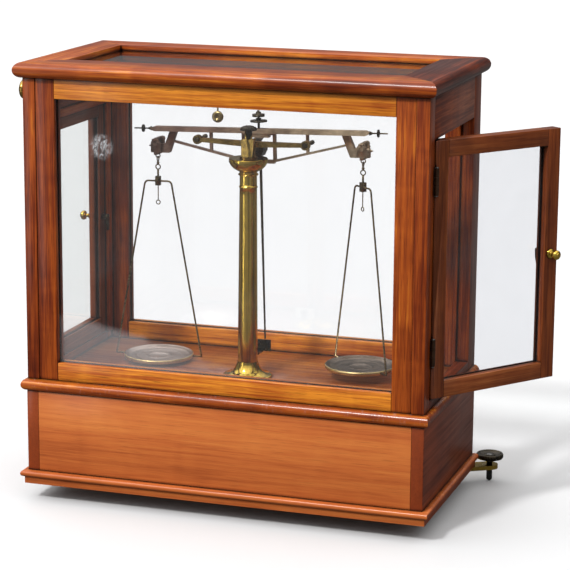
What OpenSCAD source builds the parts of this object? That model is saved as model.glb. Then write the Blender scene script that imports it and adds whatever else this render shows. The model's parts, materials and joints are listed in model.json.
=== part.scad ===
// Apothecary's analytical balance in a glazed mahogany case.
// Millimetres. -Y is the rear, where the column stands. +Y is the operator's front. +X is right seen from the rear.
// The origin is the bottom of the fixed foot, the point about which the balance is levelled.

/* [Case] */
// Width of the glazed case across its corner posts
case_w = 400; // [380:1:480]
// Depth of the glazed case
case_d = 200; // [190:1:260]
// Height of the glazed case from the deck to the top face
case_h = 310; // [300:1:380]
// Width of a corner post seen from the front
post_w = 12.5; // [11:0.5:16]
// Depth of a rear corner post
rear_post_d = 19; // [17:0.5:24]
// Depth of a front corner post
front_post_d = 27; // [20:0.5:36]
// Thickness of the fixed window frames
wall_t = 15.5; // [12:0.5:20]
// How far the window frames lie behind the post faces
wall_set = 1; // [0.5:0.5:2]
// Width of a window stile
stile_w = 19.3; // [14:0.1:26]
// Height of the lower window rail
rail_lo = 17.8; // [12:0.1:24]
// Height of the upper window rail
rail_hi = 19; // [12:0.5:24]
// Thickness of the fixed window panes
glass_t = 2.6; // [2:0.1:4]
// Height of the sill under each door
sill_h = 9; // [6:0.5:14]
// Height of the frieze board over each door
frieze_h = 41; // [34:0.5:50]

/* [Top and base] */
// Thickness of the top frame, whose edge is a half round
top_t = 15; // [12:0.5:20]
// Overhang of the top frame all round
top_over = 7.4; // [4:0.1:14]
// Width of the end boards of the top frame
top_end_w = 40.4; // [30:0.1:50]
// Width of the front and rear rails of the top frame
top_rail_w = 41.4; // [30:0.1:50]
// Thickness of the deck board, whose edge is a half round
deck_t = 12; // [10:0.5:16]
// How far the deck's half round stands out
deck_out = 5.5; // [4:0.5:8]
// Height of the plinth boards
plinth_h = 81; // [60:1:110]
// Thickness of the plinth boards
plinth_t = 12; // [10:0.5:16]
// How far the plinth stands out past the posts
plinth_out = 0.7; // [0:0.1:1.5]
// Thickness of the base board
base_t = 13.3; // [11:0.1:18]
// How far the base board's rounded edge stands out
base_out = 7; // [5:0.5:10]
// How far its square lower edge stands out
base_step = 3.5; // [1:0.5:4.5]
// Gap between the base board and the table
ground_gap = 17.7; // [14:0.1:26]

/* [Doors] */
// Thickness of a door frame
door_t = 12.2; // [10:0.1:12.2]
// Width of a door stile
door_stile = 15.5; // [13:0.5:20]
// Height of a door rail
door_rail = 16; // [12:0.5:22]
// Gap at the hinge side, top and bottom of a door
door_gap = 0.8; // [0.6:0.1:1.2]
// Gap at the free side of a door
free_gap = 1.1; // [1.1:0.1:2]
// Angle at which the right door stands open
right_open = 36.5; // [0:0.5:110]
// Height of the catch knobs above the deck
catch_z = 132.5; // [90:0.5:180]
// Length of a hinge
hinge_len = 25; // [18:1:32]

/* [Balance] */
// Distance between the end knives
knife_span = 212; // [190:1:230]
// Height of the centre knife edge above the deck
knife_z = 227.9; // [215:0.1:232]
// Tilt of the beam at rest, right end up
beam_tilt = 1.8; // [0:0.1:1.9]
// Depth of the top bar of the beam
bar_h = 4.8; // [4:0.1:6]
// Distance of the column axis to the rear of the deck centre
column_y = 20; // [18:0.5:26]
// Distance of the beam plane to the front of the deck centre
beam_y = 12; // [8:0.5:14]
// Radius of the column at its foot
column_r_lo = 9.8; // [9:0.1:11]
// Radius of the column under its capital
column_r_hi = 8.4; // [7.5:0.1:9]
// Radius of a pan
pan_r = 35; // [28:0.5:38]
// Radius from a pan's centre to the legs of its bow
bow_r = 44; // [36:0.5:48]
// Half width of a bow at its top
bow_w = 13.2; // [8:0.1:18]
// Thickness of a pan
pan_t = 4.3; // [3.5:0.1:4.8]
// Drop of a pan's rim under its end knife
pan_drop = 217.4; // [205:0.1:217.5]
// Height of the arrest pins above the deck
pin_z = 231; // [229:0.1:231.4]
// Distance of each arrest pin from the centre
pin_x = 55; // [53.5:0.1:58]
// Travel of the arrest lift
lift_travel = 1.4; // [0.5:0.1:1.4]

/* [Levelling] */
// Distance of the levelling screws past the sides of the case
level_out = 15.8; // [15.8:0.1:20]
// Distance of the levelling screws in front of the case
level_front = 12; // [12:0.5:16]
// Radius of a levelling wheel
wheel_r = 13.8; // [10:0.1:14]
// Radius of the levelling screws
screw_r = 3; // [2.5:0.1:4]
// Distance of the fixed foot to the rear of the deck centre
foot_y = 35; // [30:1:38]

/* [Hidden] */
$fn = 64;

mahogany = [0.45, 0.16, 0.06];
old_brass = [0.62, 0.47, 0.2];
dark_brass = [0.25, 0.2, 0.13];
steel = [0.45, 0.45, 0.47];
pane = [0.75, 0.85, 0.85, 0.3];

eps = 0.01;             // overlap that lets a cut pass through a face
seam = 0.1;             // hairline between separate boards in one node
run = 0.06;             // radial clearance of a shaft that turns or slides
deck_z = ground_gap + base_t + plinth_h + deck_t;
hx = case_w / 2;
hy = case_d / 2;
frame_h = case_h - top_t;
inner_x = hx - post_w;
inner_y = hy - wall_set - wall_t;
door_y0 = -hy + rear_post_d;
door_y1 = hy - front_post_d;
frieze_z = frame_h - frieze_h;

// Hinge axis of the right door, from the deck centre
axis_out = 2.4;
hinge_x = hx + axis_out;
hinge_y = door_y0 + door_gap / 2;
hinge_z = [55, frieze_z - 38];
barrel_r = 2.2;
hinge_pin_r = 1;
leaf_t = 1.1;
leaf_w = 9.5;
pocket = 1;
door_w = door_y1 - free_gap - door_y0 - door_gap;
door_z0 = sill_h + door_gap;
door_z1 = frieze_z - door_gap;
door_glass_t = 2.4;
door_glass_set = 7;
catch_u = door_w - door_stile / 2 - 0.9;
spindle_r = 1.7;
stop_t = 3;
stop_w = 12;
stop_lap = 4;

level_x = hx + level_out;
level_y = hy + level_front;
top_pane_z = 7;

// Balance
end_x = knife_span / 2;
bar_z0 = 8.7;
chord_z = -18.8;
bay_x = 16;
strut_x = 49.7;
foot_x0 = end_x - 13;
foot_x1 = end_x + 6.3;
capital_z = 200.6;
capital_top = capital_z + 16.4;
head_top = 244;
head_w = 5.6;
rod_r = 3;
cam_z = -53;
cam_r = 9;
rider_z = frieze_z + 14;
rider_drop = rider_z - knife_z - 22.6;
rider_x = -43;
bush_r = 6;
poise_r = 0.7;
stem_r = 1.2;
block_z = -36.8;
block_h = 9;
hook_r = 1;
left_turn = 7;
right_turn = -39;
bracket_t = 4.2;
base_z = -deck_t - plinth_h - base_t;

module at_deck() { translate([0, foot_y, deck_z]) children(); }
module both_sides() {
  children();
  mirror([1, 0, 0]) children();
}
module slab(lo, hi) { translate(lo) cube(hi - lo); }

// A board whose left, right and rear edges are half rounds; its front edge is square
module bullnose_board(x, y0, y1, z0, z1) {
  r = (z1 - z0) / 2;
  intersection() {
    union() {
      slab([-x, y0 - r, z0], [x, y1, z1]);
      for (s = [-1, 1])
        translate([s * x, y0 - r, z0 + r]) rotate([-90, 0, 0]) cylinder(h = y1 - y0 + r, r = r);
    }
    union() {
      slab([-x - r, y0, z0], [x + r, y1, z1]);
      translate([-x - r, y0, z0 + r]) rotate([0, 90, 0]) cylinder(h = 2 * x + 2 * r, r = r);
    }
  }
}

// A round bar from point a to point b
module bar_between(a, b, r) {
  v = b - a;
  translate(a) rotate([0, acos(v[2] / norm(v)), atan2(v[1], v[0])]) cylinder(h = norm(v), r = r, $fn = 24);
}
module ring(major, minor) { rotate_extrude() translate([major, 0]) circle(r = minor, $fn = 24); }

// Case
module base_board() {
  color(mahogany) at_deck() difference() {
    union() {
      r = (base_t - 6.8) / 2;
      bullnose_board(hx + base_out - r, -hy - base_out + r, hy, base_z + 6.8, base_z + base_t);
      slab([-hx - base_step, -hy - base_step, base_z], [hx + base_step, hy, base_z + 6.9]);
    }
    both_sides() bracket_holes(1.85, base_z - eps, 11);
    translate([0, -foot_y, base_z - eps]) cylinder(h = 11, r = 1.95);
  }
}
module plinth_ends() {
  color(mahogany) at_deck() both_sides()
    slab([hx + plinth_out - plinth_t, -hy - plinth_out, -deck_t - plinth_h], [hx + plinth_out, hy, -deck_t]);
}
module plinth_panels() {
  x = hx + plinth_out - plinth_t;
  color(mahogany) at_deck() {
    slab([-x, -hy - plinth_out, -deck_t - plinth_h], [x, -hy - plinth_out + plinth_t, -deck_t]);
    difference() {
      slab([-x, hy - plinth_t, -deck_t - plinth_h], [x, hy, -deck_t]);
      translate([0, hy + eps, cam_z]) rotate([90, 0, 0]) cylinder(h = plinth_t + 2 * eps, r = 7);
    }
  }
}
module deck() {
  r = deck_t / 2;
  color(mahogany) at_deck() difference() {
    bullnose_board(hx + deck_out - r, -hy - deck_out + r, hy, -deck_t, 0);
    translate([0, -column_y, -deck_t - eps]) cylinder(h = deck_t + 2 * eps, r = 4.2);
    for (x = [-9, 9]) translate([x, -column_y, -deck_t - eps]) cylinder(h = deck_t + 2 * eps, r = 1.5);
  }
}
module corner_posts() {
  color(mahogany) at_deck() both_sides() {
    difference() {
      slab([inner_x, -hy, 0], [hx, door_y0, frame_h]);
      for (z = hinge_z)
        slab([hx - leaf_w - 0.5, door_y0 - pocket, z - hinge_len / 2 - 0.1],
             [hx + eps, door_y0 + eps, z + hinge_len / 2 + 0.1]);
      translate([hinge_x, hinge_y, 0]) leaf_screws(-1, 0.05, false);
    }
    slab([inner_x, door_y1, 0], [hx, hy, frame_h]);
  }
}

// Four members of a glazed frame, grooved for the pane. x is centred, z starts at 0, y is centred
module glazed_frame(w, h, t, stile, lo, hi, pane_y, pane_t) {
  groove = 4;
  both_sides() difference() {
    slab([w / 2 - stile, -t / 2, 0], [w / 2, t / 2, h]);
    slab([w / 2 - stile - eps, pane_y - pane_t / 2 - 0.2, lo - groove],
         [w / 2 - stile + groove, pane_y + pane_t / 2 + 0.2, h - hi + groove]);
  }
  x = w / 2 - stile - seam;
  difference() {
    slab([-x, -t / 2, 0], [x, t / 2, lo]);
    slab([-x - eps, pane_y - pane_t / 2 - 0.2, lo - groove], [x + eps, pane_y + pane_t / 2 + 0.2, lo + eps]);
  }
  difference() {
    slab([-x, -t / 2, h - hi], [x, t / 2, h]);
    slab([-x - eps, pane_y - pane_t / 2 - 0.2, h - hi - eps],
         [x + eps, pane_y + pane_t / 2 + 0.2, h - hi + groove]);
  }
}
module glazing(w, h, stile, lo, hi, pane_y, pane_t) {
  tuck = 3.7;
  slab([-w / 2 + stile - tuck, pane_y - pane_t / 2, lo - tuck],
       [w / 2 - stile + tuck, pane_y + pane_t / 2, h - hi + tuck]);
}
window_y = hy - wall_set - wall_t / 2;
module window_frames() {
  color(mahogany) at_deck() for (y = [-window_y, window_y]) translate([0, y, 0])
    glazed_frame(2 * inner_x, frame_h, wall_t, stile_w, rail_lo, rail_hi, 0, glass_t);
}
module window_glass() {
  color(pane) at_deck() for (y = [-window_y, window_y]) translate([0, y, 0])
    glazing(2 * inner_x, frame_h, stile_w, rail_lo, rail_hi, 0, glass_t);
}
module side_rails() {
  color(mahogany) at_deck() difference() {
    both_sides() {
      slab([inner_x, door_y0, 0], [hx, door_y1, sill_h]);
      slab([inner_x, door_y0, frieze_z], [hx, door_y1, frame_h]);
    }
    translate([-hx - eps, beam_y, rider_z]) rotate([0, 90, 0]) cylinder(h = post_w + 2 * eps, r = bush_r + run);
  }
}
// A door thinner than its post closes on a lip of the stops
module door_stops() {
  lip_x = hx - door_t - 0.3;
  color(mahogany) at_deck() both_sides() {
    if (lip_x > inner_x + 0.05) {
      slab([inner_x - 1, door_y1 - stop_lap, sill_h], [lip_x, door_y1 - seam, frieze_z - stop_lap - seam]);
      slab([inner_x - 1, -inner_y, frieze_z - stop_lap], [lip_x, door_y1 - seam, frieze_z - seam]);
    }
    slab([inner_x - stop_t, door_y1 - stop_lap, sill_h],
         [inner_x, door_y1 - stop_lap + stop_w, frieze_z - stop_lap - seam]);
    slab([inner_x - stop_t, -inner_y, frieze_z - stop_lap],
         [inner_x, door_y1 + stop_w - stop_lap, frieze_z + 4]);
  }
}

// Four boards, mitred at the corners, with half-round outer edges
module top_frame() {
  r = top_t / 2;
  x = hx + top_over - r;
  y = hy + top_over - r;
  in_x = hx + top_over - top_end_w;
  in_y = hy + top_over - top_rail_w;
  color(mahogany) at_deck() translate([0, 0, frame_h]) difference() {
    intersection() {
      union() {
        slab([-x, -y - r, 0], [x, y + r, top_t]);
        for (s = [-1, 1])
          translate([s * x, -y - r, r]) rotate([-90, 0, 0]) cylinder(h = 2 * y + 2 * r, r = r);
      }
      union() {
        slab([-x - r, -y, 0], [x + r, y, top_t]);
        for (s = [-1, 1])
          translate([-x - r, s * y, r]) rotate([0, 90, 0]) cylinder(h = 2 * x + 2 * r, r = r);
      }
    }
    slab([-in_x, -in_y, -1], [in_x, in_y, top_t + 1]);
    slab([-in_x - 4, -in_y - 4, top_pane_z - 0.2], [in_x + 4, in_y + 4, top_pane_z + glass_t + 0.2]);
    for (s = [-1, 1], q = [-1, 1])
      translate([s * in_x, q * in_y, -1]) rotate(atan2(q * top_rail_w, s * top_end_w))
        slab([-2, -seam / 2, 0], [norm([top_end_w, top_rail_w]) + 2, seam / 2, top_t + 2]);
  }
}
module top_glass() {
  x = hx + top_over - top_end_w + 3.7;
  y = hy + top_over - top_rail_w + 3.7;
  color(pane) at_deck() slab([-x, -y, frame_h + top_pane_z], [x, y, frame_h + top_pane_z + glass_t]);
}

// Doors. In a door's own frame the hinge axis is at x = 0, y = 0 and the closed door runs along +y
module right_door_at() { at_deck() translate([hinge_x, hinge_y, 0]) rotate(-right_open) children(); }
module left_door_at() { at_deck() translate([-hinge_x, hinge_y, 0]) mirror([1, 0, 0]) children(); }
door_mid_x = -axis_out - door_t / 2;
door_pane_x = -axis_out - door_glass_set - door_glass_t / 2;
module door_frame() {
  difference() {
    translate([door_mid_x, door_gap / 2 + door_w / 2, door_z0]) rotate(90)
      glazed_frame(door_w, door_z1 - door_z0, door_t, door_stile, door_rail, door_rail,
                   door_mid_x - door_pane_x, door_glass_t);
    for (z = hinge_z)
      slab([-axis_out - leaf_w - 0.5, door_gap / 2 - eps, z - hinge_len / 2 - 0.1],
           [-axis_out + eps, door_gap / 2 + pocket, z + hinge_len / 2 + 0.1]);
    leaf_screws(1, 0.05, false);
    translate([-axis_out - door_t - eps, door_gap / 2 + catch_u, catch_z]) rotate([0, 90, 0])
      cylinder(h = door_t + 2 * eps, r = spindle_r + run);
  }
}
module door_glass() {
  translate([door_mid_x, door_gap / 2 + door_w / 2, door_z0]) rotate(90)
    glazing(door_w, door_z1 - door_z0, door_stile, door_rail, door_rail, door_mid_x - door_pane_x,
            door_glass_t);
}

// Knob, spindle and inner lever. The lever hangs down when it is off its catch
module door_catch() {
  lever_x = inner_x - hinge_x - stop_t - 1.1;
  lever_t = 2.4;
  translate([0, door_gap / 2 + catch_u, catch_z]) {
    rotate([0, 90, 0]) {
      translate([0, 0, lever_x - lever_t]) cylinder(h = -axis_out - lever_x + lever_t + 1, r = spindle_r);
      translate([0, 0, lever_x - lever_t])
        cylinder(h = -axis_out - door_t - 0.3 - lever_x + lever_t, r = 2.7);
      translate([0, 0, -axis_out + 0.2]) rotate_extrude() polygon([
        [0, 0], [4.6, 0], [4.6, 1], [3.6, 1.8], [2.1, 2.6], [1.9, 5], [2.8, 6], [4.4, 6.8], [4.8, 8.2],
        [4.6, 9.8], [3.6, 11], [2.2, 11.6], [1.9, 12], [0, 12.2]]);
    }
    translate([lever_x - lever_t, 0, 0]) rotate([90, 0, 90]) linear_extrude(lever_t)
      polygon([[2.6, 2.4], [-2.6, 2.4], [-2.2, -6], [-0.4, -14], [1.6, -14], [2.2, -6]]);
  }
}
// Two wood screws through each leaf. side is -1 for the post's leaf and 1 for the door's
module leaf_screws(side, grow, head) {
  y = side * (door_gap / 2 + pocket - 0.05);
  for (z = hinge_z, d = [-0.33, 0.33])
    translate([-axis_out - leaf_w / 2, y - side * leaf_t, z + d * hinge_len]) rotate([-90 * side, 0, 0]) {
      cylinder(h = 10 + grow, r = 0.75 + grow);
      if (head) cylinder(h = 0.6, r = 1.5);
    }
}
module hinge_leaf(post) {
  y = post ? -door_gap / 2 - pocket + 0.05 : door_gap / 2 + pocket - 0.05 - leaf_t;
  side = post ? -1 : 1;
  step = hinge_len / 3;
  leaf_screws(side, 0, true);
  for (z = hinge_z) translate([0, 0, z - hinge_len / 2]) {
    difference() {
      slab([-axis_out - leaf_w, y, 0], [-axis_out - 0.1, y + leaf_t, hinge_len]);
      for (d = [0.17, 0.83]) translate([-axis_out - leaf_w / 2, y + (post ? leaf_t : 0), d * hinge_len])
        rotate([-90 * side, 0, 0]) {
          translate([0, 0, -1]) cylinder(h = 3, r = 0.8);
          translate([0, 0, -1]) cylinder(h = 1.7, r = 1.6);
        }
    }
    for (k = post ? [0, 2] : [1]) difference() {
      union() {
        slab([-axis_out - 0.2, y, k * step + 0.15], [-0.4, y + leaf_t, (k + 1) * step - 0.15]);
        translate([0, 0, k * step + 0.15]) cylinder(h = step - 0.3, r = barrel_r);
      }
      translate([0, 0, k * step]) cylinder(h = step, r = hinge_pin_r + run);
    }
  }
}
module hinge_pin() {
  for (z = hinge_z) translate([0, 0, z - hinge_len / 2]) {
    translate([0, 0, -0.7]) cylinder(h = hinge_len + 1.4, r = hinge_pin_r);
    for (e = [-1.1, hinge_len + 0.1]) translate([0, 0, e]) cylinder(h = 1, r = 1.7);
  }
}
module right_door_frame() { color(mahogany) right_door_at() door_frame(); }
module right_door_glass() { color(pane) right_door_at() door_glass(); }
module right_door_catch() { color(old_brass) right_door_at() door_catch(); }
module left_door_frame() { color(mahogany) left_door_at() door_frame(); }
module left_door_glass() { color(pane) left_door_at() door_glass(); }
module left_door_catch() { color(old_brass) left_door_at() door_catch(); }
module hinge_post_leaves() {
  color(dark_brass) at_deck() both_sides() translate([hinge_x, hinge_y, 0]) hinge_leaf(true);
}
module hinge_pins() { color(steel) at_deck() both_sides() translate([hinge_x, hinge_y, 0]) hinge_pin(); }
module right_hinge_leaves() { color(dark_brass) right_door_at() hinge_leaf(false); }
module left_hinge_leaves() { color(dark_brass) left_door_at() hinge_leaf(false); }

// Column
foot_h = 15.6;
module at_column() { at_deck() translate([0, -column_y, 0]) children(); }
module column_foot() {
  r = column_r_lo + 0.3;
  color(old_brass) at_column() difference() {
    rotate_extrude() polygon([[0, 0], [24, 0], [24.4, 0.6], [24.4, 1.6], [23.8, 2.2], [20.4, 2.8],
      [17.4, 3.9], [15, 5.6], [13.2, 7.9], [11.8, 10.6], [r + 0.6, 13.4], [r, foot_h], [0, foot_h]]);
    translate([0, 0, -eps]) cylinder(h = foot_h + 2 * eps, r = 4);
    for (x = [-9, 9]) translate([x, 0, -eps]) cylinder(h = 2.6, r = 1.45);
  }
}
module column_shaft() {
  z1 = capital_z;
  color(old_brass) at_column() difference() {
    union() {
      translate([0, 0, foot_h]) cylinder(h = z1 - foot_h, r1 = column_r_lo, r2 = column_r_hi);
      translate([0, 0, z1 - 11.6]) rotate_extrude() translate([column_r_hi, 0]) circle(r = 0.8);
    }
    translate([0, 0, foot_h - eps]) cylinder(h = z1, r = 4);
    translate([0, column_r_lo + 1, saddle_screw_z]) rotate([90, 0, 0]) cylinder(h = 5.4, r = 1.25);
  }
}
module column_capital() {
  color(old_brass) at_column() translate([0, 0, capital_z]) difference() {
    rotate_extrude() polygon([[0, 0], [9.6, 0], [9.9, 0.6], [9.6, 1.3], [8.7, 1.8], [8.5, 2.8], [9.4, 3.8],
      [11.8, 5], [14.4, 6.6], [16.6, 8.8], [17.9, 11], [18.5, 12.2], [18.9, 13], [18.9, 15.8],
      [18.5, 16.4], [0, 16.4]]);
    translate([0, 0, -eps]) cylinder(h = 20, r = 4);
  }
}

// Square post on the capital, bored for the lift rod and slotted to the front for the bearing bracket
module column_head() {
  w = head_w;
  at_column() {
    color(old_brass) difference() {
      union() {
        slab([-w, -w, capital_top], [w, w, 235.5]);
        translate([0, 0, 235.5]) cylinder(h = head_top - 235.5, r = 3.7);
        translate([0, 0, capital_top]) cylinder(h = 1.6, r = 8.6);
      }
      translate([0, 0, capital_top - eps]) cylinder(h = 10.2, r = rod_r + run);
      slab([-2.3, 0, capital_top + 0.7], [2.3, w + 3, capital_top + 10.2]);
    }
    color(dark_brass) translate([0, 0, head_top + seam]) rotate_extrude()
      polygon([[0, 0], [8, 0], [8.2, 1.2], [7.2, 2.8], [4.4, 4.1], [0, 4.6]]);
  }
}

// Fixed cross bar behind the beam, with a boss and a long pin at each end
arm_y0 = -column_y + head_w + seam;
arm_t = 5;
module arrest_arms() {
  color(old_brass) at_deck() difference() {
    translate([0, arm_y0 + arm_t, 0]) rotate([90, 0, 0]) linear_extrude(arm_t) {
      polygon([[-pin_x, pin_z - 1.9], [-12, knife_z - 0.8], [12, knife_z - 0.8], [pin_x, pin_z - 1.9],
               [pin_x, pin_z + 1.9], [12, knife_z + 4.5], [-12, knife_z + 4.5], [-pin_x, pin_z + 1.9]]);
      for (s = [-1, 1]) translate([s * pin_x, pin_z]) circle(r = 4.5);
    }
    for (s = [-1, 1]) translate([s * pin_x, arm_y0 - eps, pin_z]) rotate([-90, 0, 0])
      cylinder(h = arm_t + 2 * eps, r = 1.65);
  }
}
module arrest_pins() {
  color(dark_brass) at_deck() both_sides() translate([pin_x, arm_y0 - 1.2, pin_z]) rotate([-90, 0, 0]) {
    cylinder(h = beam_y - arm_y0, r = 1.6);
    cylinder(h = 1.1, r = 2.8);
    translate([0, 0, beam_y - 4.4 - arm_y0]) cylinder(h = 4.2, r = 2.2);
  }
}

// The bracket rides on the lift rod and carries the agate under the centre knife
bracket_z = capital_top + 2.6;
module bearing_bracket() {
  color(dark_brass) at_deck() {
    translate([0, -column_y, bracket_z]) cylinder(h = 5.4, r = rod_r);
    slab([-2, -column_y, bracket_z], [2, beam_y + 7, bracket_z + 5.4]);
    translate([0, beam_y + 7, 0]) rotate([90, 0, 0]) linear_extrude(14)
      polygon([[-6.5, 220], [-4, 214.6], [4, 214.6], [6.5, 220], [6.5, knife_z - 2.4], [-6.5, knife_z - 2.4]]);
  }
}
module bearing_agate() {
  color([0.55, 0.3, 0.2]) at_deck()
    slab([-5.5, beam_y - 6.5, knife_z - 2.4], [5.5, beam_y + 6.5, knife_z - 0.08]);
}
module lift_rod() {
  color(steel) at_column() {
    translate([0, 0, cam_z + cam_r + 3.1]) cylinder(h = bracket_z - cam_z - cam_r - 3.1, r = rod_r);
    translate([0, 0, cam_z + cam_r + 3.15]) sphere(r = rod_r);
  }
}

// The cam's radius falls evenly over a quarter turn, and the lift rod stands on it
module arrest_shaft() {
  function cam(a) = a <= 100 ? cam_r - lift_travel * a / 90
    : a <= 260 ? cam_r - lift_travel * 100 / 90 : cam_r - lift_travel * 100 / 90 * (360 - a) / 100;
  color(steel) at_deck() translate([0, 0, cam_z]) rotate([-90, 0, 0]) {
    translate([0, 0, -column_y - 12]) cylinder(h = hy + column_y + 28, r = 3.9);
    translate([0, 0, -column_y - 3]) linear_extrude(6)
      polygon([for (a = [0:5:355]) cam(a) * [-sin(a), -cos(a)]]);
  }
}
module shaft_bearings() {
  color(old_brass) at_deck() {
    difference() {
      slab([-9, -column_y - 10, cam_z - 9], [9, -column_y - 5, -deck_t]);
      translate([0, -column_y - 4, cam_z]) rotate([90, 0, 0]) cylinder(h = 8, r = 3.9 + run);
    }
    difference() {
      union() {
        translate([0, hy, cam_z]) rotate([90, 0, 0]) cylinder(h = plinth_t, r = 6.9);
        translate([0, hy, cam_z]) rotate([-90, 0, 0]) cylinder(h = 2, r = 12);
      }
      translate([0, hy + 3, cam_z]) rotate([90, 0, 0]) cylinder(h = plinth_t + 6, r = 3.9 + run);
    }
  }
}
module arrest_knob() {
  color(old_brass) at_deck() translate([0, hy + 3, cam_z]) rotate([-90, 0, 0]) difference() {
    union() {
      cylinder(h = 5, r = 7);
      translate([0, 0, 5]) rotate_extrude()
        polygon([[0, 0], [12, 0], [14, 1.4], [14, 7], [12.4, 8.6], [0, 8.6]]);
      translate([0, 0, 5]) rotate_extrude() polygon([[0, 8], [5, 8], [4, 10.4], [0, 11]]);
    }
    translate([0, 0, -eps]) cylinder(h = 14, r = 3.95);
    for (k = [0:23]) rotate(k * 15) translate([14.5, 0, 4.5]) cylinder(h = 10, r = 1, $fn = 16);
  }
}

// Beam. In the beam's own frame the centre knife edge is the origin, and z is up
module at_beam() { at_deck() translate([0, beam_y, knife_z]) rotate([0, -beam_tilt, 0]) children(); }
module flat_part(t) { translate([0, t / 2, 0]) rotate([90, 0, 0]) linear_extrude(t) children(); }
module beam() {
  color([0.42, 0.33, 0.22]) at_beam() {
    flat_part(7) both_halves()
      polygon([[0, bar_z0], [foot_x1 - 4, bar_z0], [foot_x1, bar_z0 + 1.6], [foot_x1, bar_z0 + bar_h - 1.6],
               [foot_x1 - 4, bar_z0 + bar_h], [0, bar_z0 + bar_h]]);
    flat_part(6) {
      both_halves()
        polygon([[foot_x0 - 8.2, bar_z0 + 1], [foot_x0 - 0.9, bar_z0 + 1], [foot_x0 + 4.3, -3.6],
                 [foot_x1 - 0.8, -3.6], [foot_x1, -4.4], [foot_x1, -12.6], [foot_x0 + 0.5, -12.6],
                 [foot_x0 - 0.2, -11.8]]);
      polygon([[-bay_x, bar_z0 + 1], [bay_x, bar_z0 + 1], [bay_x, 7.3], [11, 7.3], [11, 4.8], [-11, 4.8],
               [-11, 7.3], [-bay_x, 7.3]]);
    }
    flat_part(4) {
      both_halves() {
        polygon([[bay_x - 2, chord_z - 1], [foot_x0 - 5, -2.2], [foot_x0 - 5, -0.2],
                 [bay_x - 2, chord_z + 1.4]]);
        translate([strut_x - 1.2, -10.6]) square([2.4, 20.3]);
        translate([bay_x - 1.4, chord_z]) square([2.8, 28]);
      }
      translate([-bay_x, chord_z - 1.9]) square([2 * bay_x, 3.6]);
    }
    for (s = [-1, 1]) translate([s * (foot_x1 - eps), 0, -6]) rotate([0, s * 90, 0])
      cylinder(h = 3.2, r1 = 1.7, r2 = 0.4);
  }
}
module both_halves() {
  children();
  mirror([1, 0]) children();
}
module knife_edges() {
  color(steel) at_beam() {
    translate([0, 7.4, 0]) rotate([90, 0, 0]) linear_extrude(14.8) polygon([[0, 0], [3.5, 4.7], [-3.5, 4.7]]);
    for (s = [-1, 1]) translate([s * end_x, 4.9, 0]) rotate([90, 0, 0]) linear_extrude(9.8)
      polygon([[0, 0], [2.2, -3.5], [-2.2, -3.5]]);
  }
}
rod_z = bar_z0 + bar_h / 2;
module adjusting_rods() {
  color(dark_brass) at_beam() {
    for (s = [-1, 1]) translate([s * (foot_x1 + 0.05), 0, rod_z]) rotate([0, s * 90, 0]) {
      cylinder(h = 18, r = poise_r);
      cylinder(h = 3.4, r1 = 2.2, r2 = poise_r);
    }
    translate([0, 0, bar_z0 + bar_h + 0.05]) cylinder(h = 17.6, r = stem_r);
  }
}
module sensitivity_nuts() {
  nuts = [[bar_z0 + bar_h + 6.4, 8.3, 1.6, 3.7], [bar_z0 + bar_h + 11.6, 6.1, 2.4, 4.6]];
  color(dark_brass) at_beam() for (n = nuts)
    translate([0, 0, n[0]]) difference() {
      union() {
        cylinder(h = n[2], r = n[1]);
        cylinder(h = n[3], r = 2.6);
      }
      translate([0, 0, -eps]) cylinder(h = n[3] + 2 * eps, r = stem_r + run);
    }
}
module poising_nut() {
  translate([end_x + 14.4, 0, rod_z]) rotate([0, 90, 0]) difference() {
    union() {
      cylinder(h = 1.2, r = 3.8);
      translate([0, 0, -0.7]) cylinder(h = 2.6, r = 1.6);
    }
    translate([0, 0, -2]) cylinder(h = 6, r = poise_r + run);
  }
}
module left_poising_nut() { color(dark_brass) at_beam() mirror([1, 0, 0]) poising_nut(); }
module right_poising_nut() { color(dark_brass) at_beam() poising_nut(); }
pointer_len = knife_z - 30;
module pointer() {
  color(dark_brass) at_beam() {
    translate([0, 3.9, 0]) rotate([90, 0, 0]) linear_extrude(1.8)
      polygon([[-3, chord_z + 1.6], [3, chord_z + 1.6], [2.4, chord_z - 5], [1.2, chord_z - 7],
               [0.6, -pointer_len], [-0.6, -pointer_len], [-1.2, chord_z - 7], [-2.4, chord_z - 5]]);
    translate([0, 3.8, chord_z]) rotate([-90, 0, 0]) cylinder(h = 1.4, r = 1.5);
  }
}

// Each stirrup is a closed frame round the beam's foot. Its plate lies on the end knife
function end_z(s) = knife_z + s * end_x * sin(beam_tilt);
function end_px(s) = s * end_x * cos(beam_tilt);
module at_end(s) { at_deck() translate([end_px(s), beam_y, end_z(s)]) children(); }
eye_z = -16;
module stirrup() {
  slab([-1.7, -12.6, 0.1], [1.7, 11, 2.1]);
  for (y = [-6.8, 5.4]) {
    translate([0, y + 1.4, 0]) rotate([90, 0, 0]) linear_extrude(1.4)
      polygon([[-1.7, 2.1], [-5, -1.8], [-5, -11.2], [-1.8, -12.2], [-1.8, -14.4], [1.8, -14.4],
               [1.8, -12.2], [5, -11.2], [5, -1.8], [1.7, 2.1]]);
  }
  slab([-1.8, -6.8, -14.4], [1.8, 6.8, -13.3]);
  translate([0, 6.7, -1.2]) rotate([-90, 0, 0]) cylinder(h = 5.4, r = 1.5);
  translate([0, 13, -0.6]) sphere(r = 2.7);
  translate([0, -6.7, -3.2]) rotate([90, 0, 0]) rotate_extrude()
    polygon([[0, 0], [2.8, 0], [2.8, 1.1], [2.2, 1.6], [1.5, 1.1], [0, 1]]);
  translate([0, 0, eye_z]) rotate([90, 0, 0]) ring(2.2, 0.6);
}
module left_stirrup() { color([0.38, 0.28, 0.2]) at_end(-1) stirrup(); }
module right_stirrup() { color([0.38, 0.28, 0.2]) at_end(1) stirrup(); }

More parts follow.
